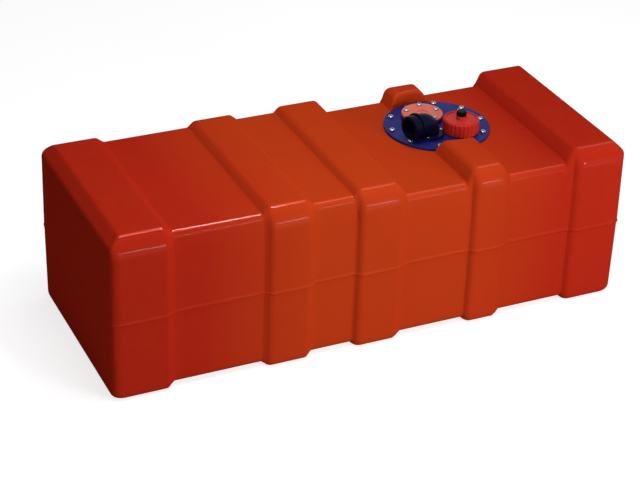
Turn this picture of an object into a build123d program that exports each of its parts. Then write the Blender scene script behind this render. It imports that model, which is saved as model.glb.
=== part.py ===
"""Outboard fuel tank: a rotomoulded ribbed tank with a hatch plate that carries its fittings.

Millimetres, +Z up. The origin is under the middle of the tank, on the surface it stands on.
+X runs along the tank, and -Y is its front. Each piece is a solid of its own.
"""

import os
from math import atan2, copysign, cos, radians, sin, tan

from build123d import *

os.makedirs("parts", exist_ok=True)

# Tank body, along its length from the left end: flat stretches and the flanks between them
left_band = 88.0
panel_1 = 139.0
rib_1 = 52.0
panel_2 = 69.0
rib_2 = 54.0
panel_3 = 113.0
rib_3 = 41.0
panel_4 = 111.0
right_band = 87.0
flanks = (20.0, 20.0, 16.0, 16.0, 26.0, 14.0, 22.0, 12.0)

# Tank body, across: raised bands, shallow panels, and the sunk deck that carries the hatch
tank_width = 350.0
tank_height = 288.0
wall = 5.5
panel_sink = 10.0
deck_sink = 26.0
side_sink = 9.0
bottom_sink = 5.0
crown_inset = 12.5
band_crown_drop = 27.0
panel_crown_drop = 16.5
deck_crown_drop = 16.0
crown_radius = 5.0
shoulder_radius = 9.0
bottom_radius = 12.0
draft = 1.0
crown_ease = 0.4
crown_ease_drop = 0.2
corner_radius = 10.0
end_chamfer_run = 21.0
end_chamfer_drop = 16.0
end_edge_radius = 5.0
seam_height = 140.0
seam_ridge = 1.5
seam_ridge_height = 6.0

# Hatch: opening, moulded seat and plate
hatch_offset_x = 5.5
hatch_offset_y = 36.0
hatch_opening_radius = 70.0
hatch_seat_thickness = 14.0
plate_radius = 90.0
plate_thickness = 3.5
plate_edge_chamfer = 0.8
plate_clearance = 3.0
stub_round = 9.0
gasket_thickness = 1.5
gasket_margin = 1.0
skirt_wall = 3.0
skirt_depth = 11.0
skirt_clearance = 0.5
plate_screw_circle_radius = 80.0
plate_screw_count = 10
plate_screw_phase = -5.5

# M5 screws, shared by plate and sender
screw_head_radius = 4.75
screw_head_height = 3.2
screw_radius = 2.4
screw_hole_radius = 2.75
thread_hole_radius = 2.5
plate_screw_length = 13.0
sender_screw_length = 11.5
insert_radius = 4.0
insert_length = 11.0
insert_groove_depth = 0.6
insert_groove_width = 2.0

# Level sender, placed from the hatch centre
sender_x = -12.5
sender_y = 30.5
sender_boss_radius = 35.5
sender_boss_height = 6.5
sender_bore_radius = 21.0
sender_flange_radius = 35.0
sender_flange_thickness = 3.5
sender_hub_radius = 18.0
sender_hub_depth = 4.0
sender_recess_radius = 9.0
sender_recess_depth = 1.5
sender_screw_circle_radius = 27.0
sender_screw_count = 5
sender_screw_phase = 2.0
terminal_width = 4.8
terminal_thickness = 0.8
terminal_height = 1.4
terminal_spacing = 8.0
stem_radius = 3.5
housing_length = 20.0
housing_width = 12.0
housing_height = 34.0
housing_corner = 2.0
housing_pivot_inset = 12.0
pivot_height = 135.0
arm_length = 120.0
arm_droop = 48.0
arm_radius = 1.25
arm_bend_radius = 4.0
arm_side = 12.0
arm_overhang = 3.0
arm_end = 40.0
running_fit = 0.06
float_radius = 15.0
float_length = 32.0
float_edge = 3.0
clip_radius = 3.6
clip_thickness = 0.8

# Filler elbow, placed from the hatch centre
elbow_x = -31.0
elbow_y = -30.0
elbow_radius = 17.5
elbow_bore_radius = 14.0
elbow_bend_radius = 18.0
elbow_axis_height = 26.0
elbow_reach = 45.0
elbow_turn = 15.0
tail_radius = 19.0
tail_bead_radius = 20.2
tail_bead_length = 5.0
stop_ring_radius = 21.5
stop_ring_length = 3.0
stop_ring_reach = 26.5
elbow_flange_radius = 19.9
elbow_flange_thickness = 2.2
elbow_fit = 0.08
socket_boss_radius = 26.0
socket_boss_height = 4.0
socket_floor = 1.5
socket_sleeve_depth = 10.0
socket_sleeve_wall = 3.5
elbow_foot = 12.0
seal_height = 5.0
seal_section_radius = 0.9
seal_squeeze_room = 0.15
collar_thickness = 3.0
collar_gap = 0.3
collar_screw_circle_radius = 23.1
collar_screw_count = 3
collar_screw_radius = 1.2
collar_screw_head_radius = 2.3
collar_screw_head_height = 1.4
collar_screw_length = 6.0

# Screw cap: neck on the plate, disc and ring nut, placed from the hatch centre
neck_x = 26.5
neck_y = -35.0
neck_radius = 24.0
neck_bore_radius = 19.0
neck_height = 16.0
cap_gasket_thickness = 1.2
cap_flange_radius = 28.0
cap_flange_thickness = 2.8
cap_disc_radius = 25.3
cap_disc_thickness = 3.0
cap_spigot_depth = 6.0
cap_spigot_clearance = 0.5
cap_boss_radius = 8.5
cap_boss_height = 6.0
ring_radius = 30.5
ring_lip_radius = 25.7
ring_lip_thickness = 4.2
ring_clearance = 0.4
ring_slip = 0.1
ring_skirt_gap = 2.0
ring_top_chamfer = 2.5
ring_flute_count = 26
ring_flute_radius = 2.2
ring_flute_depth = 1.1

# Fuel outlet and pick-up, placed from the hatch centre
outlet_x = 44.5
outlet_y = 3.0
outlet_washer_radius = 9.5
outlet_washer_thickness = 1.0
outlet_hexagon_radius = 8.5
outlet_hexagon_height = 4.0
outlet_barb_tip_radius = 4.0
outlet_barb_radius = 4.75
outlet_barb_length = 3.5
outlet_barb_count = 3
outlet_tip_height = 19.0
outlet_bore_radius = 2.5
outlet_shank_radius = 6.5
outlet_shank_length = 10.0
outlet_nut_radius = 10.5
outlet_nut_height = 4.0
pickup_tube_radius = 4.0
pickup_tube_wall = 1.5
pickup_tube_insert = 5.0
strainer_floor_gap = 3.0
strainer_radius = 7.5
strainer_length = 30.0
strainer_wall = 1.2
strainer_grip = 8.0

# Vent in the middle of the cap
knob_radius = 8.5
knob_height = 8.0
knob_gap = 0.3
knob_top_chamfer = 1.6
knob_flute_count = 8
knob_flute_radius = 2.4
knob_flute_depth = 1.2
knob_bore_depth = 5.5
spindle_radius = 2.4
spindle_engagement = 4.7
spindle_head_radius = 4.4
spindle_head_thickness = 1.5
vent_seal_thickness = 1.0
vent_fit = 0.08

# Heights and centres that follow
flat_lengths = (left_band, panel_1, rib_1, panel_2, rib_2, panel_3, rib_3, panel_4, right_band)
flat_levels = ("band", "panel", "band", "panel", "band", "deck", "band", "deck", "band")
tank_length = sum(flat_lengths) + sum(flanks)
left_end = -tank_length / 2
rib_3_middle = left_end + sum(flat_lengths[:6]) + sum(flanks[:6]) + rib_3 / 2
crown_half_width = tank_width / 2 - crown_inset
deck_height = tank_height - deck_sink
hatch_spot = (rib_3_middle + hatch_offset_x, hatch_offset_y)
plate_under = deck_height + gasket_thickness
plate_top = plate_under + plate_thickness

# Each level's half width, top, bottom and height of the steep edge along its top
LEVELS = {
    "band": (tank_width / 2, tank_height, 0.0, band_crown_drop),
    "panel": (tank_width / 2 - side_sink, tank_height - panel_sink, bottom_sink, panel_crown_drop),
    "deck": (tank_width / 2 - side_sink, deck_height, bottom_sink, deck_crown_drop),
}


def level(spot, height):
    """A horizontal plane with its origin over a spot."""
    return Plane((spot[0], spot[1], height))


def hatch_pattern():
    return PolarLocations(plate_screw_circle_radius, plate_screw_count, plate_screw_phase)


def blend_levels(low, high, share):
    """A cross-section part of the way from one level to the next."""
    return tuple(a + (b - a) * share for a, b in zip(low, high))


def tank_stations(inset):
    """Cross-sections along the tank: two per flat stretch, and one that rounds each flank's crown.

    Flanks of the inner skin stand further into their rib, so that the wall keeps its thickness.
    """
    stations, x, shift = [], left_end, 0.0
    for index, (length, name) in enumerate(zip(flat_lengths, flat_levels)):
        here = LEVELS[name]
        stations.append((x + shift, here))
        x += length
        if index == len(flanks):
            stations.append((x, here))
            break
        after, flank = LEVELS[flat_levels[index + 1]], flanks[index]
        rise = after[1] - here[1]
        shift = copysign(inset * tan(atan2(abs(rise), flank) / 2), rise)
        along, share = (1 - crown_ease, 1 - crown_ease_drop) if rise > 0 else (crown_ease, crown_ease_drop)
        stations.append((x + shift, here))
        stations.append((x + shift + along * flank, blend_levels(here, after, share)))
        x += flank
    return stations


def skin_section(x, level, inset):
    """The tank's cross-section at x, moved inwards by inset."""
    side, top, bottom, crown_drop = level
    crown_slope = atan2(crown_drop, side - draft - crown_half_width)
    crown = crown_half_width - inset * tan(crown_slope / 2)
    shoulder = top - crown_drop - inset * tan((radians(90) - crown_slope) / 2)
    half = [
        (side - draft - inset, bottom + inset),
        (side - inset, seam_height),
        (side - draft - inset, shoulder),
        (crown, top - inset),
    ]
    outline = half + [(-y, z) for y, z in reversed(half)]
    with BuildSketch(Plane.YZ.offset(x)) as section:
        with BuildLine():
            Polyline(*outline, close=True)
        make_face()
        fillet(section.vertices().group_by(Axis.Y)[0], bottom_radius - inset)
        if inset == 0:
            fillet(section.vertices().group_by(Axis.Y)[-1], crown_radius)
            corners = section.vertices().filter_by(lambda v: abs(v.Y - shoulder) < 0.01)
            fillet(corners, shoulder_radius)
    return section.sketch


def end_outline(inset):
    """The tank seen from the front, between its bevelled and rounded ends."""
    half = tank_length / 2 - inset
    top = tank_height - inset
    bevel = inset * tan(atan2(end_chamfer_drop, end_chamfer_run) / 2)
    points = [
        (half - draft, inset),
        (half, seam_height),
        (half - draft, top - end_chamfer_drop + bevel),
        (half - end_chamfer_run + bevel, top),
    ]
    with BuildSketch(Plane.XZ.offset(-tank_width / 2)) as outline:
        with BuildLine():
            Polyline(*points, *[(-x, z) for x, z in reversed(points)], close=True)
        make_face()
        fillet(outline.vertices().group_by(Axis.Y)[0], bottom_radius - inset)
        if inset == 0:
            fillet(outline.vertices().group_by(Axis.Y)[-1], end_edge_radius)
    return outline.sketch


def tank_skin(inset, seat_radius, seat_floor):
    """The solid inside the tank's surface, or inside its inner surface, without the hatch seat."""
    with BuildPart() as body:
        loft([skin_section(x, level, inset) for x, level in tank_stations(inset)], ruled=True)
        with BuildSketch(Plane.XY):
            RectangleRounded(tank_length - 2 * inset, tank_width - 2 * inset, corner_radius - inset)
        extrude(amount=tank_height, mode=Mode.INTERSECT)
        add(end_outline(inset))
        extrude(amount=tank_width, mode=Mode.INTERSECT)
        with BuildSketch(level(hatch_spot, seat_floor)):
            Circle(seat_radius)
        extrude(amount=tank_height, mode=Mode.SUBTRACT)
    return body.part


seat_clear_radius = plate_radius + plate_clearance
outer_skin = tank_skin(0, seat_clear_radius, deck_height)
inner_skin = tank_skin(wall, seat_clear_radius + wall, deck_height - hatch_seat_thickness)

with BuildPart() as tank_shell:
    add(outer_skin)
    rear_end = tank_shell.edges().filter_by(GeomType.CIRCLE).filter_by(
        lambda e: abs(e.center().Z - tank_height) < 0.01 and e.center().Y > hatch_offset_y
        and abs(e.radius - seat_clear_radius) < 0.01)
    fillet(rear_end, stub_round)
    with BuildSketch(Plane.XY.offset(seam_height - seam_ridge_height / 2)) as ridge:
        with BuildLine():
            front = [(x, -level[0] - seam_ridge) for x, level in tank_stations(0)]
            front[0] = (left_end - seam_ridge, front[0][1])
            front[-1] = (-left_end + seam_ridge, front[-1][1])
            Polyline(*front, *[(x, -y) for x, y in reversed(front)], close=True)
        make_face()
        RectangleRounded(tank_length + 2 * seam_ridge, tank_width + 2 * seam_ridge,
                         corner_radius + seam_ridge, mode=Mode.INTERSECT)
    extrude(amount=seam_ridge_height)
    add(inner_skin, mode=Mode.SUBTRACT)
    with BuildSketch(level(hatch_spot, deck_height)):
        Circle(hatch_opening_radius)
    extrude(amount=-2 * hatch_seat_thickness, mode=Mode.SUBTRACT)
    with BuildSketch(level(hatch_spot, deck_height)):
        with hatch_pattern():
            Circle(insert_radius)
    extrude(amount=-insert_length, mode=Mode.SUBTRACT)
tank_shell.part.label = "tank_shell"
export_step(tank_shell.part, "parts/tank_shell.step")

# Places of the fittings, and the heights they stand at
sender_spot = (hatch_spot[0] + sender_x, hatch_offset_y + sender_y)
elbow_spot = (hatch_spot[0] + elbow_x, hatch_offset_y + elbow_y)
neck_spot = (hatch_spot[0] + neck_x, hatch_offset_y + neck_y)
outlet_spot = (hatch_spot[0] + outlet_x, hatch_offset_y + outlet_y)
sender_seat = plate_top + sender_boss_height
sender_top = sender_seat + gasket_thickness + sender_flange_thickness
socket_top = plate_top + socket_boss_height
neck_top = plate_top + neck_height
cap_under = neck_top + cap_gasket_thickness
cap_flange_top = cap_under + cap_flange_thickness
cap_top = cap_flange_top + cap_disc_thickness
cap_spigot_under = cap_under - cap_spigot_depth
knob_under = cap_top + cap_boss_height + knob_gap
elbow_axis = plate_top + elbow_axis_height


def sender_pattern():
    return PolarLocations(sender_screw_circle_radius, sender_screw_count, sender_screw_phase)


def collar_pattern():
    return PolarLocations(collar_screw_circle_radius, collar_screw_count)


def socket_screw(length, radius, head_radius, head_height):
    """A screw whose head stands on the origin: shank down, head up, hexagon socket."""
    with BuildPart() as screw:
        with BuildSketch():
            Circle(head_radius)
        extrude(amount=head_height)
        chamfer(screw.edges().group_by(Axis.Z)[-1], head_height / 3)
        with BuildSketch(Plane.XY.offset(head_height)):
            RegularPolygon(head_radius / 3, 6)
        extrude(amount=-head_height / 2, mode=Mode.SUBTRACT)
        with BuildSketch():
            Circle(radius)
        extrude(amount=-length)
    return screw.part


def threaded_insert():
    """A brass insert that hangs from the origin, with a groove for the plastic to grip."""
    with BuildPart() as insert:
        with BuildSketch():
            Circle(insert_radius)
            Circle(thread_hole_radius, mode=Mode.SUBTRACT)
        extrude(amount=-insert_length)
        with BuildSketch(Plane.XY.offset(-(insert_length - insert_groove_width) / 2)):
            Circle(insert_radius)
            Circle(insert_radius - insert_groove_depth, mode=Mode.SUBTRACT)
        extrude(amount=-insert_groove_width, mode=Mode.SUBTRACT)
    return insert.part


with BuildPart() as thread_inserts:
    with Locations(level(hatch_spot, deck_height)):
        with hatch_pattern():
            add(threaded_insert())
thread_inserts.part.label = "thread_inserts"
export_step(thread_inserts.part, "parts/thread_inserts.step")

with BuildPart() as hatch_gasket:
    with BuildSketch(level(hatch_spot, deck_height)):
        Circle(plate_radius - gasket_margin)
        Circle(hatch_opening_radius + gasket_margin, mode=Mode.SUBTRACT)
        with hatch_pattern():
            Circle(screw_hole_radius, mode=Mode.SUBTRACT)
    extrude(amount=gasket_thickness)
hatch_gasket.part.label = "hatch_gasket"
export_step(hatch_gasket.part, "parts/hatch_gasket.step")

elbow_bearing_radius = elbow_radius + elbow_fit
socket_floor_height = plate_top + socket_floor
with BuildPart() as hatch_plate:
    with BuildSketch(level(hatch_spot, plate_under)):
        Circle(plate_radius)
    extrude(amount=plate_thickness)
    chamfer(hatch_plate.edges().group_by(Axis.Z)[-1], plate_edge_chamfer)
    skirt_radius = hatch_opening_radius - skirt_clearance
    with BuildSketch(level(hatch_spot, plate_under)):
        Circle(skirt_radius)
        Circle(skirt_radius - skirt_wall, mode=Mode.SUBTRACT)
    extrude(amount=-skirt_depth)
    with BuildSketch(level(sender_spot, plate_top)):
        Circle(sender_boss_radius)
    extrude(amount=sender_boss_height)
    with BuildSketch(level(elbow_spot, plate_top)):
        Circle(socket_boss_radius)
    extrude(amount=socket_boss_height)
    with BuildSketch(level(elbow_spot, plate_under)):
        Circle(elbow_bearing_radius + socket_sleeve_wall)
    extrude(amount=-socket_sleeve_depth)
    with BuildSketch(level(neck_spot, plate_top)):
        Circle(neck_radius)
    extrude(amount=neck_height)
    with BuildSketch(level(hatch_spot, plate_top)):
        with hatch_pattern():
            Circle(screw_hole_radius)
    extrude(amount=-plate_thickness, mode=Mode.SUBTRACT)
    with BuildSketch(level(sender_spot, sender_seat)):
        Circle(sender_bore_radius)
    extrude(amount=plate_under - sender_seat, mode=Mode.SUBTRACT)
    with BuildSketch(level(sender_spot, sender_seat)):
        with sender_pattern():
            Circle(thread_hole_radius)
    extrude(amount=-(sender_boss_height + plate_thickness - 1), mode=Mode.SUBTRACT)
    with BuildSketch(level(elbow_spot, socket_top)):
        Circle(elbow_bearing_radius)
    extrude(amount=-(socket_top - plate_under + socket_sleeve_depth), mode=Mode.SUBTRACT)
    with BuildSketch(level(elbow_spot, socket_floor_height)):
        Circle(elbow_flange_radius + collar_gap)
    extrude(amount=socket_top - socket_floor_height, mode=Mode.SUBTRACT)
    with BuildSketch(level(elbow_spot, socket_top)):
        with collar_pattern():
            Circle(collar_screw_radius + 0.1)
    extrude(amount=-(collar_screw_length - collar_thickness + 0.5), mode=Mode.SUBTRACT)
    with BuildSketch(level(neck_spot, neck_top)):
        Circle(neck_bore_radius)
    extrude(amount=plate_under - neck_top, mode=Mode.SUBTRACT)
    with BuildSketch(level(outlet_spot, plate_top)):
        Circle(outlet_shank_radius + 0.1)
    extrude(amount=-plate_thickness, mode=Mode.SUBTRACT)
hatch_plate.part.label = "hatch_plate"
export_step(hatch_plate.part, "parts/hatch_plate.step")

with BuildPart() as plate_screws:
    with Locations(level(hatch_spot, plate_top)):
        with hatch_pattern():
            add(socket_screw(plate_screw_length, screw_radius, screw_head_radius, screw_head_height))
plate_screws.part.label = "plate_screws"
export_step(plate_screws.part, "parts/plate_screws.step")

# Level sender
with BuildPart() as sender_gasket:
    with BuildSketch(level(sender_spot, sender_seat)):
        Circle(sender_flange_radius)
        Circle(sender_bore_radius, mode=Mode.SUBTRACT)
        with sender_pattern():
            Circle(screw_hole_radius, mode=Mode.SUBTRACT)
    extrude(amount=gasket_thickness)
sender_gasket.part.label = "sender_gasket"
export_step(sender_gasket.part, "parts/sender_gasket.step")

sender_under = sender_seat + gasket_thickness
sender_hub_under = sender_under - sender_hub_depth
with BuildPart() as sender_flange:
    with BuildSketch(level(sender_spot, sender_under)):
        Circle(sender_flange_radius)
    extrude(amount=sender_flange_thickness)
    chamfer(sender_flange.edges().group_by(Axis.Z)[-1], plate_edge_chamfer)
    with BuildSketch(level(sender_spot, sender_under)):
        Circle(sender_hub_radius)
    extrude(amount=-sender_hub_depth)
    with BuildSketch(level(sender_spot, sender_top)):
        Circle(sender_recess_radius)
    extrude(amount=-sender_recess_depth, mode=Mode.SUBTRACT)
    with BuildSketch(level(sender_spot, sender_top)):
        with sender_pattern():
            Circle(screw_hole_radius)
    extrude(amount=-sender_flange_thickness, mode=Mode.SUBTRACT)
sender_flange.part.label = "sender_flange"
export_step(sender_flange.part, "parts/sender_flange.step")

with BuildPart() as sender_screws:
    with Locations(level(sender_spot, sender_top)):
        with sender_pattern():
            add(socket_screw(sender_screw_length, screw_radius, screw_head_radius, screw_head_height))
sender_screws.part.label = "sender_screws"
export_step(sender_screws.part, "parts/sender_screws.step")

with BuildPart() as sender_terminals:
    with BuildSketch(level(sender_spot, sender_top - sender_recess_depth)):
        with GridLocations(0, terminal_spacing, 1, 2):
            Rectangle(terminal_width, terminal_thickness)
    extrude(amount=terminal_height)
sender_terminals.part.label = "sender_terminals"
export_step(sender_terminals.part, "parts/sender_terminals.step")

housing_top = pivot_height + housing_height - housing_pivot_inset
with BuildPart() as sender_stem:
    with BuildSketch(level(sender_spot, sender_hub_under)):
        Circle(stem_radius)
    extrude(amount=housing_top - sender_hub_under)
sender_stem.part.label = "sender_stem"
export_step(sender_stem.part, "parts/sender_stem.step")

with BuildPart() as sender_housing:
    with BuildSketch(level(sender_spot, housing_top)):
        RectangleRounded(housing_length, housing_width, housing_corner)
    extrude(amount=-housing_height)
    with BuildSketch(Plane((sender_spot[0], sender_spot[1], pivot_height), z_dir=(0, 1, 0))):
        Circle(arm_radius + running_fit)
    extrude(amount=housing_width, both=True, mode=Mode.SUBTRACT)
sender_housing.part.label = "sender_housing"
export_step(sender_housing.part, "parts/sender_housing.step")

# The arm: pivot shaft through the housing, a long leg that droops when the tank is empty, float shaft
leg = Vector(cos(radians(arm_droop)), 0, -sin(radians(arm_droop))) * arm_length
shaft_start = Vector(sender_spot[0], sender_spot[1] - housing_width / 2 - arm_overhang, pivot_height)
leg_start = Vector(sender_spot[0], sender_spot[1] + arm_side, pivot_height)
leg_end = leg_start + leg
float_shaft_end = leg_end + Vector(0, arm_end, 0)
with BuildPart() as float_arm:
    with BuildLine() as arm_path:
        FilletPolyline(shaft_start, leg_start, leg_end, float_shaft_end, radius=arm_bend_radius)
    with BuildSketch(Plane(shaft_start, z_dir=(0, 1, 0))):
        Circle(arm_radius)
    sweep(path=arm_path.line)
float_arm.part.label = "float_arm"
export_step(float_arm.part, "parts/float_arm.step")

first_clip = arm_bend_radius + 0.5
float_near = first_clip + clip_thickness
float_far = float_near + float_length


def across_float_shaft(distance):
    """A plane across the float's shaft, at a distance from its bend."""
    return Plane(leg_end + Vector(0, distance, 0), z_dir=(0, 1, 0))


with BuildPart() as level_float:
    with BuildSketch(across_float_shaft(float_near)):
        Circle(float_radius)
    extrude(amount=float_length)
    chamfer(level_float.edges(), float_edge)
    with BuildSketch(across_float_shaft(float_near)):
        Circle(arm_radius + running_fit)
    extrude(amount=float_length, mode=Mode.SUBTRACT)
level_float.part.label = "level_float"
export_step(level_float.part, "parts/level_float.step")

with BuildPart() as float_clips:
    for distance in (first_clip, float_far):
        with BuildSketch(across_float_shaft(distance)):
            Circle(clip_radius)
            Circle(arm_radius, mode=Mode.SUBTRACT)
        extrude(amount=clip_thickness)
float_clips.part.label = "float_clips"
export_step(float_clips.part, "parts/float_clips.step")

# Filler elbow: drawn in the upright plane through its two axes, x along the tail
tail_direction = (-cos(radians(elbow_turn)), -sin(radians(elbow_turn)), 0)
elbow_plane = Plane((elbow_spot[0], elbow_spot[1], 0), x_dir=tail_direction,
                    z_dir=(tail_direction[1], -tail_direction[0], 0))
tail_axis = Axis((elbow_spot[0], elbow_spot[1], elbow_axis), tail_direction)
elbow_foot_height = plate_under - elbow_foot
tail_profile = [
    (stop_ring_reach, elbow_axis),
    (stop_ring_reach, elbow_axis + stop_ring_radius),
    (stop_ring_reach + stop_ring_length, elbow_axis + stop_ring_radius),
    (stop_ring_reach + stop_ring_length, elbow_axis + tail_radius),
    (elbow_reach - tail_bead_length, elbow_axis + tail_radius),
    (elbow_reach - tail_bead_length, elbow_axis + tail_bead_radius),
    (elbow_reach - 1, elbow_axis + tail_bead_radius),
    (elbow_reach, elbow_axis + tail_radius - 1),
    (elbow_reach, elbow_axis),
]
with BuildPart() as filler_elbow:
    with BuildLine(elbow_plane) as elbow_path:
        FilletPolyline((0, elbow_foot_height), (0, elbow_axis), (elbow_reach, elbow_axis),
                       radius=elbow_bend_radius)
    with BuildSketch(level(elbow_spot, elbow_foot_height)):
        Circle(elbow_radius)
    sweep(path=elbow_path.line)
    with BuildSketch(elbow_plane):
        with BuildLine():
            Polyline(*tail_profile, close=True)
        make_face()
    revolve(axis=tail_axis)
    with BuildSketch(level(elbow_spot, socket_floor_height)):
        Circle(elbow_flange_radius)
    extrude(amount=elbow_flange_thickness)
    with BuildSketch(level(elbow_spot, elbow_foot_height + seal_height)):
        Circle(elbow_radius + 1)
        Circle(elbow_radius - 2 * seal_section_radius, mode=Mode.SUBTRACT)
    extrude(amount=2 * seal_section_radius + 2 * seal_squeeze_room, mode=Mode.SUBTRACT)
    with BuildSketch(level(elbow_spot, elbow_foot_height)):
        Circle(elbow_bore_radius)
    sweep(path=elbow_path.line, mode=Mode.SUBTRACT)
filler_elbow.part.label = "filler_elbow"
export_step(filler_elbow.part, "parts/filler_elbow.step")

seal_middle = elbow_foot_height + seal_height + seal_section_radius + seal_squeeze_room
with BuildPart() as elbow_seal:
    with BuildSketch(elbow_plane):
        with Locations((elbow_radius - seal_section_radius, seal_middle)):
            Circle(seal_section_radius)
    revolve(axis=Axis((elbow_spot[0], elbow_spot[1], 0), (0, 0, 1)))
elbow_seal.part.label = "elbow_seal"
export_step(elbow_seal.part, "parts/elbow_seal.step")

with BuildPart() as elbow_collar:
    with BuildSketch(level(elbow_spot, socket_top)):
        Circle(socket_boss_radius)
        Circle(elbow_radius + collar_gap, mode=Mode.SUBTRACT)
        with collar_pattern():
            Circle(collar_screw_radius + 0.1, mode=Mode.SUBTRACT)
    extrude(amount=collar_thickness)
    chamfer(elbow_collar.edges().group_by(Axis.Z)[-1].sort_by(SortBy.RADIUS)[-1], plate_edge_chamfer)
elbow_collar.part.label = "elbow_collar"
export_step(elbow_collar.part, "parts/elbow_collar.step")

with BuildPart() as collar_screws:
    with Locations(level(elbow_spot, socket_top + collar_thickness)):
        with collar_pattern():
            add(socket_screw(collar_screw_length, collar_screw_radius, collar_screw_head_radius,
                             collar_screw_head_height))
collar_screws.part.label = "collar_screws"
export_step(collar_screws.part, "parts/collar_screws.step")

# Screw cap
with BuildPart() as cap_gasket:
    with BuildSketch(level(neck_spot, neck_top)):
        Circle(neck_radius)
        Circle(neck_bore_radius, mode=Mode.SUBTRACT)
    extrude(amount=cap_gasket_thickness)
cap_gasket.part.label = "cap_gasket"
export_step(cap_gasket.part, "parts/cap_gasket.step")

spindle_bore_radius = spindle_radius + vent_fit
cap_boss_top = cap_top + cap_boss_height
with BuildPart() as cap_disc:
    for radius, low, high in (
        (neck_bore_radius - cap_spigot_clearance, cap_spigot_under, cap_under),
        (cap_flange_radius, cap_under, cap_flange_top),
        (cap_disc_radius, cap_flange_top, cap_top),
        (cap_boss_radius, cap_top, cap_boss_top),
    ):
        with BuildSketch(level(neck_spot, low)):
            Circle(radius)
        extrude(amount=high - low)
    with BuildSketch(level(neck_spot, cap_boss_top)):
        Circle(spindle_bore_radius)
    extrude(amount=cap_spigot_under - cap_boss_top, mode=Mode.SUBTRACT)
cap_disc.part.label = "cap_disc"
export_step(cap_disc.part, "parts/cap_disc.step")

lip_under = cap_flange_top + ring_slip
ring_under = plate_top + ring_skirt_gap
with BuildPart() as ring_nut:
    with BuildSketch(level(neck_spot, ring_under)):
        Circle(ring_radius)
    extrude(amount=lip_under + ring_lip_thickness - ring_under)
    chamfer(ring_nut.edges().group_by(Axis.Z)[-1], ring_top_chamfer)
    with BuildSketch(level(neck_spot, ring_under)):
        with PolarLocations(ring_radius + ring_flute_radius - ring_flute_depth, ring_flute_count):
            Circle(ring_flute_radius)
    extrude(amount=lip_under + ring_lip_thickness - ring_under, mode=Mode.SUBTRACT)
    for radius, low, high in (
        (neck_radius + ring_clearance, ring_under, cap_under),
        (cap_flange_radius + ring_clearance, cap_under - ring_clearance, lip_under),
        (ring_lip_radius, lip_under, lip_under + ring_lip_thickness),
    ):
        with BuildSketch(level(neck_spot, low)):
            Circle(radius)
        extrude(amount=high - low, mode=Mode.SUBTRACT)
ring_nut.part.label = "ring_nut"
export_step(ring_nut.part, "parts/ring_nut.step")

# Vent: knob on the cap's boss, spindle and seal below
with BuildPart() as vent_knob:
    with BuildSketch(level(neck_spot, knob_under)):
        Circle(knob_radius)
    extrude(amount=knob_height)
    chamfer(vent_knob.edges().group_by(Axis.Z)[-1], knob_top_chamfer)
    with BuildSketch(level(neck_spot, knob_under)):
        with PolarLocations(knob_radius + knob_flute_radius - knob_flute_depth, knob_flute_count):
            Circle(knob_flute_radius)
    extrude(amount=knob_height, mode=Mode.SUBTRACT)
    with BuildSketch(level(neck_spot, knob_under)):
        Circle(spindle_bore_radius)
    extrude(amount=knob_bore_depth, mode=Mode.SUBTRACT)
vent_knob.part.label = "vent_knob"
export_step(vent_knob.part, "parts/vent_knob.step")

vent_seal_under = cap_spigot_under - vent_seal_thickness
with BuildPart() as vent_spindle:
    with BuildSketch(level(neck_spot, vent_seal_under)):
        Circle(spindle_radius)
    extrude(amount=knob_under + spindle_engagement - vent_seal_under)
    with BuildSketch(level(neck_spot, vent_seal_under)):
        Circle(spindle_head_radius)
    extrude(amount=-spindle_head_thickness)
vent_spindle.part.label = "vent_spindle"
export_step(vent_spindle.part, "parts/vent_spindle.step")

with BuildPart() as vent_seal:
    with BuildSketch(level(neck_spot, vent_seal_under)):
        Circle(spindle_head_radius)
        Circle(spindle_radius, mode=Mode.SUBTRACT)
    extrude(amount=vent_seal_thickness)
vent_seal.part.label = "vent_seal"
export_step(vent_seal.part, "parts/vent_seal.step")

# Fuel outlet through the plate, and the pick-up below it
outlet_seat = plate_top + outlet_washer_thickness
outlet_shank_end = plate_top - outlet_shank_length
tail_foot = outlet_seat + outlet_hexagon_height
tail_tip = plate_top + outlet_tip_height
barbs_foot = tail_tip - outlet_barb_count * outlet_barb_length
with BuildPart() as outlet_washer:
    with BuildSketch(level(outlet_spot, plate_top)):
        Circle(outlet_washer_radius)
        Circle(outlet_shank_radius + 0.1, mode=Mode.SUBTRACT)
    extrude(amount=outlet_washer_thickness)
outlet_washer.part.label = "outlet_washer"
export_step(outlet_washer.part, "parts/outlet_washer.step")

with BuildPart() as outlet_fitting:
    with BuildSketch(level(outlet_spot, outlet_seat)):
        RegularPolygon(outlet_hexagon_radius, 6)
    extrude(amount=outlet_hexagon_height)
    with BuildSketch(level(outlet_spot, outlet_seat)):
        Circle(outlet_shank_radius)
    extrude(amount=outlet_shank_end - outlet_seat)
    with BuildSketch(level(outlet_spot, tail_foot)):
        Circle(outlet_barb_radius)
    extrude(amount=barbs_foot - tail_foot)
    for barb in range(outlet_barb_count):
        barb_foot = barbs_foot + barb * outlet_barb_length
        with BuildSketch(level(outlet_spot, barb_foot)):
            Circle(outlet_barb_radius)
        with BuildSketch(level(outlet_spot, barb_foot + outlet_barb_length)):
            Circle(outlet_barb_tip_radius)
        loft()
    with BuildSketch(level(outlet_spot, tail_tip)):
        Circle(outlet_bore_radius)
    extrude(amount=outlet_shank_end - tail_tip, mode=Mode.SUBTRACT)
    with BuildSketch(level(outlet_spot, outlet_shank_end)):
        Circle(pickup_tube_radius)
    extrude(amount=pickup_tube_insert, mode=Mode.SUBTRACT)
outlet_fitting.part.label = "outlet_fitting"
export_step(outlet_fitting.part, "parts/outlet_fitting.step")

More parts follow.
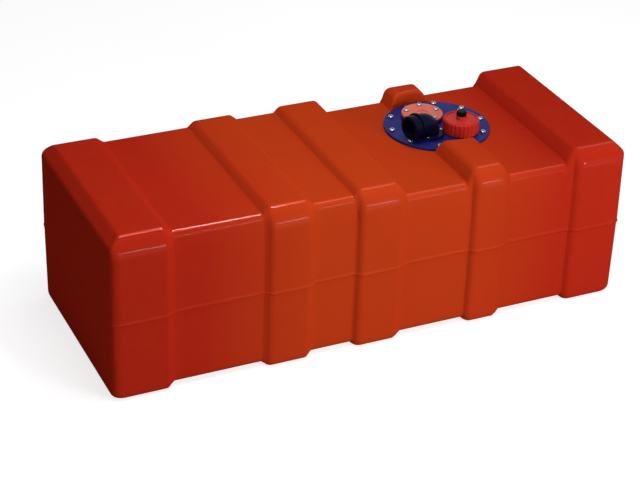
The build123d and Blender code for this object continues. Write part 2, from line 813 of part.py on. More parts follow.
with BuildPart() as outlet_nut:
    with BuildSketch(level(outlet_spot, plate_under)):
        RegularPolygon(outlet_nut_radius, 6)
        Circle(outlet_shank_radius, mode=Mode.SUBTRACT)
    extrude(amount=-outlet_nut_height)
outlet_nut.part.label = "outlet_nut"
export_step(outlet_nut.part, "parts/outlet_nut.step")

strainer_foot = bottom_sink + wall + strainer_floor_gap
with BuildPart() as pickup_tube:
    with BuildSketch(level(outlet_spot, outlet_shank_end + pickup_tube_insert)):
        Circle(pickup_tube_radius)
        Circle(pickup_tube_radius - pickup_tube_wall, mode=Mode.SUBTRACT)
    extrude(amount=strainer_foot + strainer_length - strainer_grip - outlet_shank_end - pickup_tube_insert)
pickup_tube.part.label = "pickup_tube"
export_step(pickup_tube.part, "parts/pickup_tube.step")

with BuildPart() as pickup_strainer:
    with BuildSketch(level(outlet_spot, strainer_foot)):
        Circle(strainer_radius)
    extrude(amount=strainer_length)
    chamfer(pickup_strainer.edges().group_by(Axis.Z)[-1], strainer_wall)
    with BuildSketch(level(outlet_spot, strainer_foot + strainer_wall)):
        Circle(strainer_radius - strainer_wall)
    extrude(amount=strainer_length - strainer_grip - 2 * strainer_wall, mode=Mode.SUBTRACT)
    with BuildSketch(level(outlet_spot, strainer_foot + strainer_length)):
        Circle(pickup_tube_radius)
    extrude(amount=-strainer_grip - strainer_wall, mode=Mode.SUBTRACT)
pickup_strainer.part.label = "pickup_strainer"
export_step(pickup_strainer.part, "parts/pickup_strainer.step")
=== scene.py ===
"""Looks of the outboard fuel tank: a finer skin over its packed shell, and a finish for every piece.

Tables are in millimetres, and the scene is in metres.
"""

import math

import bpy
import numpy as np
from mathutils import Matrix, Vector


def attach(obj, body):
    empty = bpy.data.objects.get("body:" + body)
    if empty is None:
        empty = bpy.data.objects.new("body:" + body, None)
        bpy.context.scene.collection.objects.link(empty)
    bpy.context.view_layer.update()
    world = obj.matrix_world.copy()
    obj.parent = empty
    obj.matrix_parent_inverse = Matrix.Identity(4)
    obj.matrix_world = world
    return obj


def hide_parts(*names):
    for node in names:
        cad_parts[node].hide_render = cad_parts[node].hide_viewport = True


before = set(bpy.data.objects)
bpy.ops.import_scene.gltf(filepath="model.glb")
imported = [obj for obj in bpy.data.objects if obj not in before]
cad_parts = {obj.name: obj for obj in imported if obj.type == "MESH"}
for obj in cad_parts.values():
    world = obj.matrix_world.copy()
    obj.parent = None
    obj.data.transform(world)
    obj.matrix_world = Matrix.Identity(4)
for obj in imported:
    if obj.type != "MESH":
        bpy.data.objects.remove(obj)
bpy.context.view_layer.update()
MM = 0.001

# Flat stretches along the tank, as they lie on its top and on its sides, and each stretch's level
TOP_FLATS = ((-450, -365), (-345, -199), (-180, -130), (-112, -44), (-28, 24), (49, 157), (173, 210),
             (235, 340), (360, 450))
SIDE_FLATS = ((-450, -364), (-344, -195), (-181, -129), (-110, -39), (-28, 24), (50, 165), (175, 212),
              (234, 353), (365, 450))
FLAT_LEVELS = ("band", "panel", "band", "panel", "band", "deck", "band", "deck", "band")
# The stretch that the hatch's seat cuts through
HATCH_RIB = 6
# Each level's half width, top, bottom, and height of the steep edge along its top
LEVELS = {"band": (175, 288, 0, 27), "panel": (166, 278, 5, 16.5), "deck": (166, 262, 5, 16)}
# The first two columns of the levels
HALF_WIDTH, TOP_HEIGHT = 0, 1
TOP, DECK = LEVELS["band"][TOP_HEIGHT], LEVELS["deck"][TOP_HEIGHT]
HALF_LENGTH = 450
WALL = 5.5
# A flank climbs at this share of its rise over this share of its run, up to the arc that rounds its crown
STEEP_RUN, STEEP_RISE = 0.5, 0.85
FLANK_CROWN, FLANK_FOOT = 14.0, 0.8
# Half width of the level top, out to its steep edge, and how far the sides lean in above and below the seam
CROWN_HALF_WIDTH = 162.5
DRAFT = 1.0
# The parting line: its ridge, and the lower half of the mould, which is a little smaller
SEAM = 140
SEAM_RIDGE, SEAM_HALF_WIDTH, END_SEAM_SHARE = 1.5, 4.0, 0.3
LOWER_HALF_INSET, LOWER_HALF_STEP = 0.8, 3
END_BEVEL_RUN, LEFT_BEVEL_DROP, RIGHT_BEVEL_DROP = 21, 16, 20
# How softly neighbouring faces run into each other
BLEND_CORNER, BLEND_TOP, BLEND_BEVEL, BLEND_SHOULDER, BLEND_BOTTOM = 18.0, 11.0, 2.5, 5.0, 16.0

# Hatch seat cut through its rib, and the holes in it
HATCH = (203, 36)
SEAT_RADIUS = 93
SEAT_WALL_LEAN = 1.4
FRONT_STUB_ROUND, REAR_STUB_ROUND = 8, 7
OPENING_RADIUS = 70
SCREW_CIRCLE, SCREW_COUNT, SCREW_PHASE = 80, 10, -5.5
INSERT_RADIUS, INSERT_LENGTH = 4, 11
CUTTER_REACH = 30
# The wall is thicker under the seat, out to a radius, and thins again over a short edge
SEAT_THICKNESS = 14
THICK_SEAT_RADIUS, THICK_SEAT_EDGE, CLEAR_OF_SEAT = 98, 6, 40

# The skin is found by rays from a block inside the tank, which fan out, in degrees, past the block's edges
CORE_X, CORE_Y, CORE_Z = (-420, 420), (-148, 148), (30, 238)
FAN = np.array([7, 9.3, 10.3, 11.3, 14, 17, 20, 23, 26, 28.5,
                31, 33, 35, 37, 39, 40.5, 41.6, 42.7, 44, 45.2])
COARSE_FAN = FAN[1::3]
RAY_REACH, RAY_HALVINGS = 120.0, 26
# Widest gaps between grid lines, and extra lines by their distance from each bend of the skin
COARSE_GAP, LEVEL_GAP, UPRIGHT_GAP = 24, 12, 14
FOOT_ROWS = (-1.6, -0.8, 0, 0.8, 1.6)
CROWN_ROWS = (-8.5, -6.5, -4.5, -2.8, -1.2, 0.3, 1.8, 3.5)
STUB_ROWS = (-2.6, -1.6, -1.2, -0.8, -0.4, 0, 0.1, 0.4, 0.9, 1.7, 2.7, 4, 5.5, 7.2, 9.2, 11.5)
SEAM_ROWS = (-5, -4, -3, -2.2, -1.5, -0.8, 0, 0.8, 1.6, 2.5, 3.3, 4, 5)
# Rows of the top follow the seat's wall this far from its middle, then straighten over a stretch
ROUND_ROWS, STRAIGHTENING = 48, 110
# Their bend is whole from this far inside the wall to this far outside it
WHOLE_INSIDE, WHOLE_OUTSIDE = 6, 13
# Edges sharper than this aren't smoothed
SHARP_ANGLE = math.radians(50)

FLOOR_HALF_WIDTH = 6000
FLOOR_GLOW = 0.75
WORLD_LIGHT = 0.2
# The camera's place in metres, its turn in degrees, and its lens and sensor in millimetres
CAMERA_PLACE = (-1.2106, -2.501, 1.7066)
CAMERA_TURN = (60.00385, -1.7303, -24.3838)
CAMERA_LENS, SENSOR_WIDTH = 107.787, 36


# ---------------------------------------------------------------- tank form

def soft_positive(u, rounding):
    """max(u, 0), rounded over a stretch each side of zero."""
    curve = (u + rounding) ** 2 / (4 * rounding)
    return np.where(u < -rounding, 0, np.where(u > rounding, u, curve))


def smooth_max(a, b, blend):
    """The larger of two distances, rounded where they are nearly equal."""
    overlap = np.maximum(blend - np.abs(a - b), 0) / blend
    return np.maximum(a, b) + overlap ** 2 * blend / 4


def climb(along, length, rise):
    """The share of a flank's rise at a distance from its foot: a crease, a slope and a rounded crown."""
    slope = rise * STEEP_RISE / (length * STEEP_RUN)
    angle = math.atan(slope)
    crown = rise / slope + FLANK_CROWN * math.tan(angle / 2)
    arc = rise - FLANK_CROWN + np.sqrt(FLANK_CROWN ** 2 - np.clip(crown - along, 0, FLANK_CROWN) ** 2)
    straight = along < crown - FLANK_CROWN * math.sin(angle)
    return np.where(straight, slope * soft_positive(along, FLANK_FOOT), arc) / rise


def flank_ends(flats):
    """Where each flank starts and ends, between two flat stretches."""
    return [(before[1], after[0]) for before, after in zip(flats, flats[1:])]


def flank_steps(column):
    """What each flank steps from and to, in one column of the levels."""
    values = [LEVELS[name][column] for name in FLAT_LEVELS]
    return list(zip(values, values[1:]))


def flank_shares(x, flats, column, wall):
    """How much of each flank's step has been taken at x, in one column of the levels.

    Flanks of the inner skin stand further into their rib, so that the wall keeps its thickness.
    """
    shares = []
    for (start, end), (before, after) in zip(flank_ends(flats), flank_steps(column)):
        length, step = end - start, abs(after - before)
        shift = wall * math.tan(math.atan2(step, length) / 2)
        if after > before:
            shares.append(climb(x - start - shift, length, step))
        else:
            shares.append(1 - climb(end - shift - x, length, step))
    return shares


def levels_along(x, wall):
    """The tank's half width, top, bottom and steep edge at x, and how far the hatch's rib has risen."""
    side_shares = flank_shares(x, SIDE_FLATS, HALF_WIDTH, wall)
    top_shares = flank_shares(x, TOP_FLATS, TOP_HEIGHT, wall)
    found = []
    for column, shares in enumerate((side_shares, top_shares, side_shares, top_shares)):
        value = np.full_like(x, LEVELS[FLAT_LEVELS[0]][column], float)
        for (before, after), share in zip(flank_steps(column), shares):
            value += (after - before) * share
        found.append(value)
    return *found, top_shares[HATCH_RIB - 1] - top_shares[HATCH_RIB]


def stub_height(radius, y):
    """The share of its full height that the hatch's rib keeps, by distance from the hatch's centre."""
    full = TOP - DECK
    stub_round = np.where(y < HATCH[1], FRONT_STUB_ROUND, REAR_STUB_ROUND)
    past = np.clip((radius - SEAT_RADIUS) / stub_round, 0, 1)
    crown = full - stub_round * (1 - np.sqrt(1 - (1 - past) ** 2))
    seat_wall = np.clip(1 + (radius - SEAT_RADIUS) / SEAT_WALL_LEAN, 0, 1)
    return crown * seat_wall / full


def roof_height(y, top, rib, radius, wall):
    """The height of the tank's top, or of the top inside it, which hangs lower under the hatch's seat."""
    roof = top - (TOP - DECK) * rib * (1 - stub_height(radius, y)) - wall
    if wall:
        past_seat = np.clip((radius - THICK_SEAT_RADIUS) / THICK_SEAT_EDGE, 0, 1)
        roof = np.minimum(roof, DECK - SEAT_THICKNESS + CLEAR_OF_SEAT * past_seat)
    return roof


def outside(points, wall):
    """Signed distance, about, from the tank's skin moved inwards by wall: below zero inside it."""
    x, y, z = points.T
    side, top, bottom, drop, rib = levels_along(x, wall)
    roof = roof_height(y, top, rib, np.hypot(x - HATCH[0], y - HATCH[1]), wall)

    draft = DRAFT * np.abs(z - SEAM) / SEAM
    inset = draft + LOWER_HALF_INSET * np.clip((SEAM - z) / LOWER_HALF_STEP, 0, 1)
    ridge = np.cos(np.clip((z - SEAM) / SEAM_HALF_WIDTH, -1, 1) * math.pi / 2) ** 2 * SEAM_RIDGE
    if wall:
        ridge = 0
    sides = np.abs(y) - side + wall + inset - ridge
    ends = np.abs(x) - HALF_LENGTH + wall + draft - ridge * END_SEAM_SHARE
    walls = smooth_max(sides, ends, BLEND_CORNER)

    run = side - DRAFT - CROWN_HALF_WIDTH
    crown = ((np.abs(y) - CROWN_HALF_WIDTH) * drop + (z - top) * run) / np.hypot(drop, run) + wall
    bevel_run = END_BEVEL_RUN - DRAFT
    bevel_drop = np.where(x < 0, LEFT_BEVEL_DROP, RIGHT_BEVEL_DROP)
    bevel = (np.abs(x) - HALF_LENGTH + END_BEVEL_RUN) * bevel_drop + (z - TOP) * bevel_run
    bevel = bevel / np.hypot(bevel_run, bevel_drop) + wall

    lid = smooth_max(smooth_max(z - roof, crown, BLEND_TOP), bevel, BLEND_BEVEL)
    return smooth_max(smooth_max(lid, walls, BLEND_SHOULDER), bottom + wall - z, BLEND_BOTTOM)


# ---------------------------------------------------------------- tank skin

def filled_lines(core, gap, lines=()):
    """Grid lines across a core: its ends, the lines given, and more wherever two lie too far apart."""
    inner = {round(float(line), 4) for line in lines if core[0] <= line <= core[1]}
    kept = sorted(inner | {float(end) for end in core})
    filled = kept[:1]
    for value in kept[1:]:
        start = filled[-1]
        steps = math.ceil((value - start) / gap)
        filled += [start + (value - start) * step / steps for step in range(1, steps + 1)]
    return np.array(filled)


def grid_axis(lines, fan):
    """Where rays start along one axis, and how far they fan out past its ends."""
    lean = np.tan(np.radians(fan))
    return np.pad(lines, len(fan), "edge"), np.concatenate([-lean[::-1], np.zeros(len(lines)), lean])


def skin_grid(fine):
    """The three grid axes, with lines where a fine skin bends."""
    if not fine:
        return [grid_axis(filled_lines(core, COARSE_GAP), COARSE_FAN) for core in (CORE_X, CORE_Y, CORE_Z)]
    bends = []
    for flats, column, foot_rows, crown_rows in ((TOP_FLATS, TOP_HEIGHT, FOOT_ROWS, CROWN_ROWS),
                                                 (SIDE_FLATS, HALF_WIDTH, (0,), (0,))):
        for (start, end), (before, after) in zip(flank_ends(flats), flank_steps(column)):
            foot, crown, inwards = (start, end, 1) if after > before else (end, start, -1)
            bends += [foot + inwards * row for row in foot_rows]
            bends += [crown + inwards * row for row in crown_rows]
    stubs = [HATCH[1] + side * (SEAT_RADIUS + row) for side in (-1, 1) for row in STUB_ROWS]
    seam = [SEAM + row for row in SEAM_ROWS]
    return [grid_axis(filled_lines(CORE_X, LEVEL_GAP, bends), FAN),
            grid_axis(filled_lines(CORE_Y, LEVEL_GAP, stubs), FAN),
            grid_axis(filled_lines(CORE_Z, UPRIGHT_GAP, seam), FAN)]


def seat_shift(x, y):
    """How far a row of the top is pulled towards the hatch, so that it follows the seat's wall."""
    away = np.abs(x - HATCH[0])
    near = SEAT_RADIUS - np.sqrt(SEAT_RADIUS ** 2 - np.minimum(away, ROUND_ROWS) ** 2)
    near = near * (1 - np.clip((away - ROUND_ROWS) / STRAIGHTENING, 0, 1)) ** 2
    offset = y - HATCH[1]
    reach = np.where(offset < 0, HATCH[1] - CORE_Y[0], CORE_Y[1] - HATCH[1])
    inner = np.clip(np.abs(offset) / (SEAT_RADIUS - WHOLE_INSIDE), 0, 1)
    outer = np.clip((reach - np.abs(offset)) / (reach - SEAT_RADIUS - WHOLE_OUTSIDE), 0, 1)
    return -np.sign(offset) * near * inner * outer


def block_quads(counts, outwards):
    """Quads over the six sides of a block of grid lines, each corner as its place in the block."""
    quads = []
    for axis in range(3):
        first, second = (axis + 1) % 3, (axis + 2) % 3
        for end in (0, counts[axis] - 1):
            grid = [end] * 3
            spans = range(counts[first]), range(counts[second])
            grid[first], grid[second] = np.meshgrid(*spans, indexing="ij")
            place = np.ravel_multi_index(tuple(grid), counts)
            quad = np.stack([place[:-1, :-1], place[1:, :-1], place[1:, 1:], place[:-1, 1:]], -1)
            quad = quad.reshape(-1, 4)
            quads.append(quad if (end > 0) == outwards else quad[:, ::-1])
    return np.concatenate(quads)


def ray_ends(start, direction, wall):
    """Where rays leave the tank, found by halving."""
    near, far = np.zeros(len(start)), np.full(len(start), RAY_REACH)
    for _ in range(RAY_HALVINGS):
        middle = (near + far) / 2
        inside = outside(start + direction * middle[:, None], wall) < 0
        near, far = np.where(inside, middle, near), np.where(inside, far, middle)
    return start + direction * near[:, None]


def skin_surface(wall, fine):
    """Points and quads of the tank's outer skin, or of its inner one at a wall's thickness inside it."""
    axes = skin_grid(fine)
    counts = tuple(len(starts) for starts, _ in axes)
    places, quads = np.unique(block_quads(counts, wall == 0), return_inverse=True)
    lines = np.unravel_index(places, counts)
    start = np.stack([starts[line] for (starts, _), line in zip(axes, lines)], -1)
    lean = np.stack([leans[line] for (_, leans), line in zip(axes, lines)], -1)
    for column, (line, count) in enumerate(zip(lines, counts)):
        lean[line == 0, column], lean[line == count - 1, column] = -1, 1
    if fine:
        on_top = lines[2] == counts[2] - 1
        start[on_top, 1] += seat_shift(start[on_top, 0], start[on_top, 1])
    direction = lean / np.linalg.norm(lean, axis=1, keepdims=True)
    return ray_ends(start, direction, wall), quads.reshape(-1, 4)


# ---------------------------------------------------------------- meshes

def new_mesh(name, points, faces, smooth=True):
    """A mesh object from points in millimetres."""
    mesh = bpy.data.meshes.new(name)
    corners = (np.asarray(points, float) * MM).tolist()
    mesh.from_pydata(corners, [], [list(map(int, face)) for face in faces])
    mesh.validate()
    mesh.polygons.foreach_set("use_smooth", [smooth] * len(mesh.polygons))
    piece = bpy.data.objects.new(name, mesh)
    bpy.context.scene.collection.objects.link(piece)
    return piece


def round_pegs(pegs, sides=96):
    """Upright cylinders as points and faces: each peg is x, y, radius, low and high."""
    points, faces = [], []
    turns = np.arange(sides) * 2 * math.pi / sides
    for x, y, radius, low, high in pegs:
        first = len(points)
        for z in (low, high):
            points += [(x + radius * math.cos(turn), y + radius * math.sin(turn), z) for turn in turns]
        faces.append([first + n for n in range(sides)][::-1])
        faces.append([first + sides + n for n in range(sides)])
        faces += [[first + n, first + (n + 1) % sides, first + sides + (n + 1) % sides, first + sides + n]
                  for n in range(sides)]
    return points, faces


def cut_away(piece, cutter):
    """Cuts one mesh out of another and deletes the cutter."""
    modifier = piece.modifiers.new("cut", "BOOLEAN")
    modifier.operation, modifier.solver, modifier.object = "DIFFERENCE", "EXACT", cutter
    bpy.context.view_layer.update()
    result = bpy.data.meshes.new_from_object(piece.evaluated_get(bpy.context.evaluated_depsgraph_get()))
    piece.modifiers.clear()
    piece.data = result
    bpy.data.objects.remove(cutter)


def build_tank():
    """The hollow tank, with its hatch opening and the holes for the screws' inserts."""
    outer_points, outer_quads = skin_surface(0, True)
    inner_points, inner_quads = skin_surface(WALL, False)
    tank = new_mesh("tank", np.concatenate([outer_points, inner_points]),
                    np.concatenate([outer_quads, inner_quads + len(outer_points)]))
    pegs = [(*HATCH, OPENING_RADIUS, DECK - CUTTER_REACH, DECK + CUTTER_REACH)]
    for screw in range(SCREW_COUNT):
        turn = math.radians(SCREW_PHASE + 360 * screw / SCREW_COUNT)
        pegs.append((HATCH[0] + SCREW_CIRCLE * math.cos(turn), HATCH[1] + SCREW_CIRCLE * math.sin(turn),
                     INSERT_RADIUS, DECK - INSERT_LENGTH, DECK + CUTTER_REACH))
    cut_away(tank, new_mesh("hatch_cutter", *round_pegs(pegs), smooth=False))
    tank.data.set_sharp_from_angle(angle=SHARP_ANGLE)
    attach(tank, "tank")
    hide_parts("tank_shell")
    return tank


# ---------------------------------------------------------------- finishes

class Signal:
    """The output of a shader node. Sums on signals add the Math nodes that they need."""

    def __init__(self, finish, socket):
        self.finish, self.socket = finish, socket

    def math(self, operation, *values):
        return self.finish.node("ShaderNodeMath", {"operation": operation}, dict(enumerate(values)))

    def __add__(self, other):
        return self.math("ADD", self, other)

    def __sub__(self, other):
        return self.math("SUBTRACT", self, other)

    def __rsub__(self, other):
        return self.math("SUBTRACT", other, self)

    def __mul__(self, other):
        return self.math("MULTIPLY", self, other)

    __radd__, __rmul__ = __add__, __mul__


class Finish:
    """A material under construction, with a Principled shader that is ready to be fed."""

    def __init__(self, name, **values):
        self.material = bpy.data.materials.new(name)
        self.material.use_nodes = True
        self.tree = self.material.node_tree
        self.shader = self.tree.nodes["Principled BSDF"]
        self.set(**values)

    def node(self, kind, settings=None, inputs=None, output=0):
        """Adds a node: its settings first, then the value or signal of each socket."""
        added = self.tree.nodes.new(kind)
        for key, value in (settings or {}).items():
            setattr(added, key, value)
        for key, value in (inputs or {}).items():
            self.feed(added.inputs[key], value)
        return Signal(self, added.outputs[output])

    def feed(self, socket, value):
        """Links a signal to a socket, or sets its number or colour."""
        if isinstance(value, Signal):
            self.tree.links.new(value.socket, socket)
        elif socket.type == "RGBA":
            socket.default_value = (*value, 1)
        else:
            socket.default_value = value

    def set(self, **values):
        """Feeds the shader's sockets, by their names in small letters, as in base_color."""
        for key, value in values.items():
            self.feed(self.shader.inputs[key.replace("_", " ").title().replace("Ior", "IOR")], value)

    def place(self):
        """Where a point of the surface is, in metres."""
        return self.node("ShaderNodeNewGeometry", output="Position")

    def facing(self):
        """The direction that the surface faces."""
        return self.node("ShaderNodeNewGeometry", output="Normal")

    def parts(self, signal):
        """The X, Y and Z of a signal."""
        split = self.node("ShaderNodeSeparateXYZ", None, {0: signal}).socket.node
        return [Signal(self, split.outputs[n]) for n in range(3)]

    def noise(self, scale, detail=2, roughness=0.5, place=None):
        """Cloudy noise, with about scale clouds to a metre."""
        inputs = {"Vector": place or self.place(), "Scale": scale, "Detail": detail, "Roughness": roughness}
        return self.node("ShaderNodeTexNoise", None, inputs)

    def spread(self, signal, low, high, to_low=0.0, to_high=1.0):
        """The signal's range low to high, stretched over another range and held at its ends."""
        return self.node("ShaderNodeMapRange", None, {"Value": signal, "From Min": low, "From Max": high,
                                                      "To Min": to_low, "To Max": to_high})

    def window(self, signal, opening, closing):
        """1 between two ranges of the signal and 0 beyond them, with soft edges over the ranges."""
        return self.spread(signal, *opening) * self.spread(signal, *closing, 1, 0)

    def blend(self, share, first, second):
        """Two colours mixed. A Mix node's colours are its inputs 6 and 7 and its output 2."""
        return self.node("ShaderNodeMix", {"data_type": "RGBA"}, {0: share, 6: first, 7: second}, 2)

    def bump(self, height, distance, strength, normal=None):
        """A normal for a height, on top of another normal where one is given."""
        inputs = {"Height": height, "Distance": distance, "Strength": strength}
        if normal:
            inputs["Normal"] = normal
        return self.node("ShaderNodeBump", None, inputs)


def srgb(*colour):
    """A colour written 0 to 255, as the shader's linear values."""
    shares = [value / 255 for value in colour]
    return tuple(share / 12.92 if share <= 0.04045 else ((share + 0.055) / 1.055) ** 2.4
                 for share in shares)


def rotomoulded_red():
    """Rotomoulded polyethylene, cloudy, with painted light: lighter and more orange in the middle of the
    tank and darker and redder towards its ends, where the lamps' light falls off.

    It has the mould's faint orange peel and slow waves. The flats are matt. The rounded edges along the
    tank carry painted highlights: a clear coat, and on the crowns a touch of metal that tints their
    reflection red, only on faces turned to where the strip lamps' highlights fall: the crowns along its
    top, and less so the shoulders below them.
    """
    finish = Finish("rotomoulded_polyethylene", ior=1.5, specular_ior_level=0.0, coat_roughness=0.08)
    cloud = finish.spread(finish.noise(4.0, 3), 0.35, 0.65)
    mottle = finish.spread(finish.noise(60, 4, 0.6), 0.3, 0.7)
    # Painted light: the colour goes from a lighter orange in the middle of the tank to a darker red at its
    # ends, as the lamps' light falls off.
    from_middle = finish.parts(finish.place())[0] - 0.02
    painted_light_falloff = finish.spread(from_middle * from_middle, 0.015, 0.1)
    colour = finish.blend(painted_light_falloff, srgb(189, 61, 23), srgb(178, 38, 22))
    colour = finish.blend(cloud * 0.2, colour, srgb(182, 46, 20))
    colour = finish.blend(mottle * 0.15, colour, srgb(192, 56, 24))
    waves = finish.bump(finish.noise(14, 1, 0.3), 0.0016, 0.35)
    peel = finish.bump(finish.noise(420, 2, 0.4), 0.00006, 0.6, waves)
    # Painted highlights: the coat, and on the crowns a little metal, are given only to faces that turn to
    # where the strip lamps' highlights fall, on edges running along the tank.
    sideways, _, upwards = finish.parts(finish.facing())
    crown = finish.window(upwards, (0.84, 0.89), (0.935, 0.965))
    shoulder = finish.window(upwards, (0.1, 0.18), (0.26, 0.34))
    lengthways = finish.spread(sideways * sideways, 0.003, 0.015, 1, 0)
    finish.set(base_color=colour, roughness=finish.spread(mottle, 0, 1, 0.3, 0.38), normal=peel,
               coat_weight=(crown * 0.8 + shoulder * 0.15) * lengthways, metallic=crown * lengthways * 0.2)
    return finish.material


def moulded(name, colour, shade, roughness):
    """Injection-moulded plastic: a slight cloud in its colour and a fine spark-eroded grain."""
    finish = Finish(name, ior=1.5, specular_ior_level=0.04)
    cloud = finish.spread(finish.noise(45, 3), 0.3, 0.7)
    grain = finish.noise(900)
    finish.set(base_color=finish.blend(cloud, colour, shade),
               roughness=finish.spread(grain, 0.3, 0.7, roughness - 0.04, roughness + 0.05),
               normal=finish.bump(grain, 0.00004, 0.5))
    return finish.material


def rubber():
    """Black rubber with dust in its pores."""
    finish = Finish("nitrile_rubber", ior=1.5)
    dust = finish.spread(finish.noise(220, 4, 0.6), 0.45, 0.75)
    finish.set(base_color=finish.blend(dust * 0.35, srgb(22, 22, 23), srgb(52, 50, 48)),
               roughness=finish.spread(dust, 0, 1, 0.62, 0.78),
               normal=finish.bump(finish.noise(1400), 0.00003, 0.6))
    return finish.material


def metal(name, colour, stain, roughness, streak=(1, 1, 12)):
    """Turned or drawn metal: fine tool lines, and a faint stain that also dulls it."""
    finish = Finish(name, metallic=1.0)
    stretched = finish.node("ShaderNodeVectorMath", {"operation": "MULTIPLY"},
                            {0: finish.place(), 1: streak})
    lines = finish.noise(700, place=stretched)
    patches = finish.spread(finish.noise(160, 3), 0.45, 0.75)
    turned = finish.spread(lines, 0.3, 0.7, roughness - 0.05, roughness + 0.08)
    finish.set(base_color=finish.blend(patches * 0.5, colour, stain), roughness=turned + patches * 0.08,
               normal=finish.bump(lines, 0.00003, 0.5))
    return finish.material


def foam():
    """Dark brown foam with small closed cells."""
    finish = Finish("closed_cell_foam", ior=1.4, roughness=0.85)
    cells = finish.node("ShaderNodeTexVoronoi", None, {"Vector": finish.place(), "Scale": 900})
    finish.set(base_color=finish.blend(cells, srgb(64, 52, 46), srgb(38, 30, 27)),
               normal=finish.bump(cells, 0.0002, 0.6))
    return finish.material


def gauze():
    """Pale nylon gauze, as two sets of waves that cross at right angles."""
    finish = Finish("nylon_gauze", ior=1.5, roughness=0.6)
    waves = []
    for turn in (math.pi / 4, -math.pi / 4):
        place = finish.node("ShaderNodeVectorRotate", {"rotation_type": "X_AXIS"},
                            {"Vector": finish.place(), "Angle": turn})
        waves.append(finish.node("ShaderNodeTexWave", {"wave_type": "BANDS", "bands_direction": "Z"},
                                 {"Vector": place, "Scale": 320}))
    weave = waves[0] * waves[1]
    finish.set(base_color=finish.blend(weave, srgb(120, 116, 104), srgb(214, 209, 194)),
               normal=finish.bump(weave, 0.0003, 0.8))
    return finish.material


def dress_fittings():
    """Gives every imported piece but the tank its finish."""
    steel = metal("stainless_steel", srgb(150, 150, 154), srgb(98, 98, 104), 0.2)
    wire = metal("drawn_wire", srgb(176, 176, 178), srgb(128, 126, 124), 0.3, (12, 1, 1))
    brass = metal("machined_brass", srgb(206, 168, 92), srgb(150, 116, 58), 0.28)
    black_rubber = rubber()
    blue = moulded("blue_nylon", srgb(38, 43, 118), srgb(30, 34, 100), 0.34)
    # Painted shade: the filler elbow and its collar are the plate's blue nylon, darkened almost to black
    # for the shade that lies over them.
    shaded_blue = moulded("blue_nylon_painted_shade", srgb(11, 12, 42), srgb(8, 9, 30), 0.3)
    red = moulded("red_cap_plastic", srgb(200, 46, 36), srgb(184, 38, 30), 0.34)
    light_red = moulded("light_red_plastic", srgb(200, 60, 50), srgb(184, 50, 42), 0.4)
    salmon = moulded("salmon_sender_plastic", srgb(228, 120, 102), srgb(214, 108, 90), 0.5)
    black = moulded("black_plastic", srgb(4, 4, 5), srgb(7, 7, 8), 0.36)
    wear = {
        steel: ("plate_screws", "sender_screws", "collar_screws", "vent_spindle"),
        wire: ("sender_stem", "float_arm", "float_clips"),
        brass: ("thread_inserts", "outlet_fitting", "outlet_nut", "sender_terminals"),
        black_rubber: ("hatch_gasket", "sender_gasket", "cap_gasket", "outlet_washer",
                       "elbow_seal", "vent_seal"),
        blue: ("hatch_plate",),
        shaded_blue: ("filler_elbow", "elbow_collar"),
        red: ("ring_nut",),
        light_red: ("cap_disc",),
        salmon: ("sender_flange",),
        black: ("vent_knob", "sender_housing", "pickup_tube"),
        foam(): ("level_float",),
        gauze(): ("pickup_strainer",),
    }
    for material, nodes in wear.items():
        for node in nodes:
            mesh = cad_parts[node].data
            mesh.materials.clear()
            mesh.materials.append(material)


# ---------------------------------------------------------------- studio

def seen_directly(finish):
    """1 where the camera, a reflection or a clear material looks, and 0 for the light that is cast."""
    path = finish.node("ShaderNodeLightPath").socket.node
    camera, glossy, transmission = (Signal(finish, path.outputs[f"Is {kind} Ray"])
                                    for kind in ("Camera", "Glossy", "Transmission"))
    return camera.math("MAXIMUM", camera.math("MAXIMUM", camera, glossy), transmission)


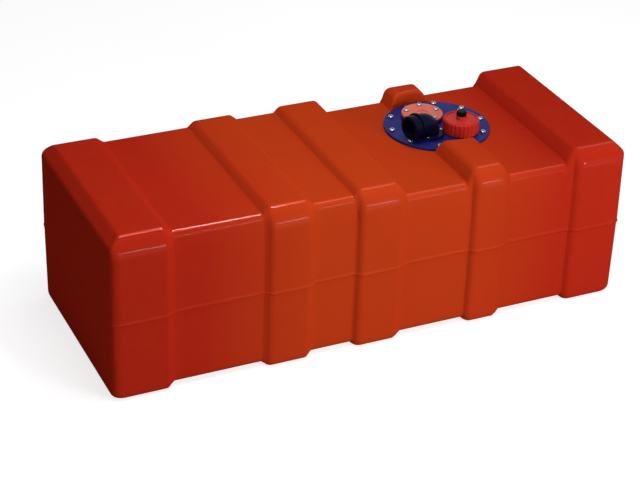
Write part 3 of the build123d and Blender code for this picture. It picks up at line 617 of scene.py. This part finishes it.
def studio_floor():
    """A plain pale floor, which glows where it is seen, so that it stays pale without more lamps."""
    half = FLOOR_HALF_WIDTH
    floor = new_mesh("floor", [(-half, -half, 0), (half, -half, 0), (half, half, 0), (-half, half, 0)],
                     [(0, 1, 2, 3)], smooth=False)
    finish = Finish("white_floor", base_color=srgb(200, 200, 200), roughness=0.9, specular_ior_level=0.0)
    glow = finish.node("ShaderNodeEmission", None, {"Strength": seen_directly(finish) * FLOOR_GLOW})
    shown = finish.node("ShaderNodeAddShader", None, {0: Signal(finish, finish.shader.outputs[0]), 1: glow})
    finish.feed(finish.tree.nodes["Material Output"].inputs["Surface"], shown)
    floor.data.materials.append(finish.material)


class Backdrop(Finish):
    """The world's shader: even light from all round, in front of a white backdrop."""

    def __init__(self, level):
        world = bpy.data.worlds.new("studio")
        bpy.context.scene.world = world
        world.use_nodes = True
        self.tree = world.node_tree
        self.shader = self.tree.nodes["Background"]
        self.set(color=(1.0, 1.0, 1.0), strength=self.spread(seen_directly(self), 0, 1, level, 1.0))


def soft_box(name, place, aim, size, power):
    """A rectangular studio lamp at a place, pointed at another."""
    lamp = bpy.data.lights.new(name, "AREA")
    lamp.shape, lamp.size, lamp.size_y, lamp.energy = "RECTANGLE", size[0], size[1], power
    holder = bpy.data.objects.new(name, lamp)
    holder.location = place
    holder.rotation_euler = (Vector(aim) - Vector(place)).to_track_quat("-Z", "Y").to_euler()
    bpy.context.scene.collection.objects.link(holder)


def set_camera():
    """A long lens, from the left and above."""
    data = bpy.data.cameras.new("camera")
    data.lens, data.sensor_width, data.sensor_fit = CAMERA_LENS, SENSOR_WIDTH, "HORIZONTAL"
    camera = bpy.data.objects.new("camera", data)
    camera.location = CAMERA_PLACE
    camera.rotation_euler = [math.radians(angle) for angle in CAMERA_TURN]
    bpy.context.scene.collection.objects.link(camera)
    bpy.context.scene.camera = camera


set_camera()
build_tank().data.materials.append(rotomoulded_red())
dress_fittings()
studio_floor()
Backdrop(WORLD_LIGHT)
soft_box("overhead", place=(-0.15, -0.3, 1.3), aim=(-0.1, -0.05, 0.25), size=(0.6, 0.4), power=5.4)
soft_box("front", place=(0.75, -1.7, 0.7), aim=(0.1, 0, 0.15), size=(0.7, 0.5), power=15.5)
# Long narrow lamps, for the thin highlights along the tank's edges
soft_box("upper_strip", place=(0.45, 0.1, 2.2), aim=(0.05, 0, 0.25), size=(1.2, 0.05), power=8.5)
soft_box("lower_strip", place=(0.6, -2.3, 0.2), aim=(0.05, 0, 0.2), size=(1.4, 0.06), power=6)
bpy.context.scene.view_settings.view_transform = "Standard"
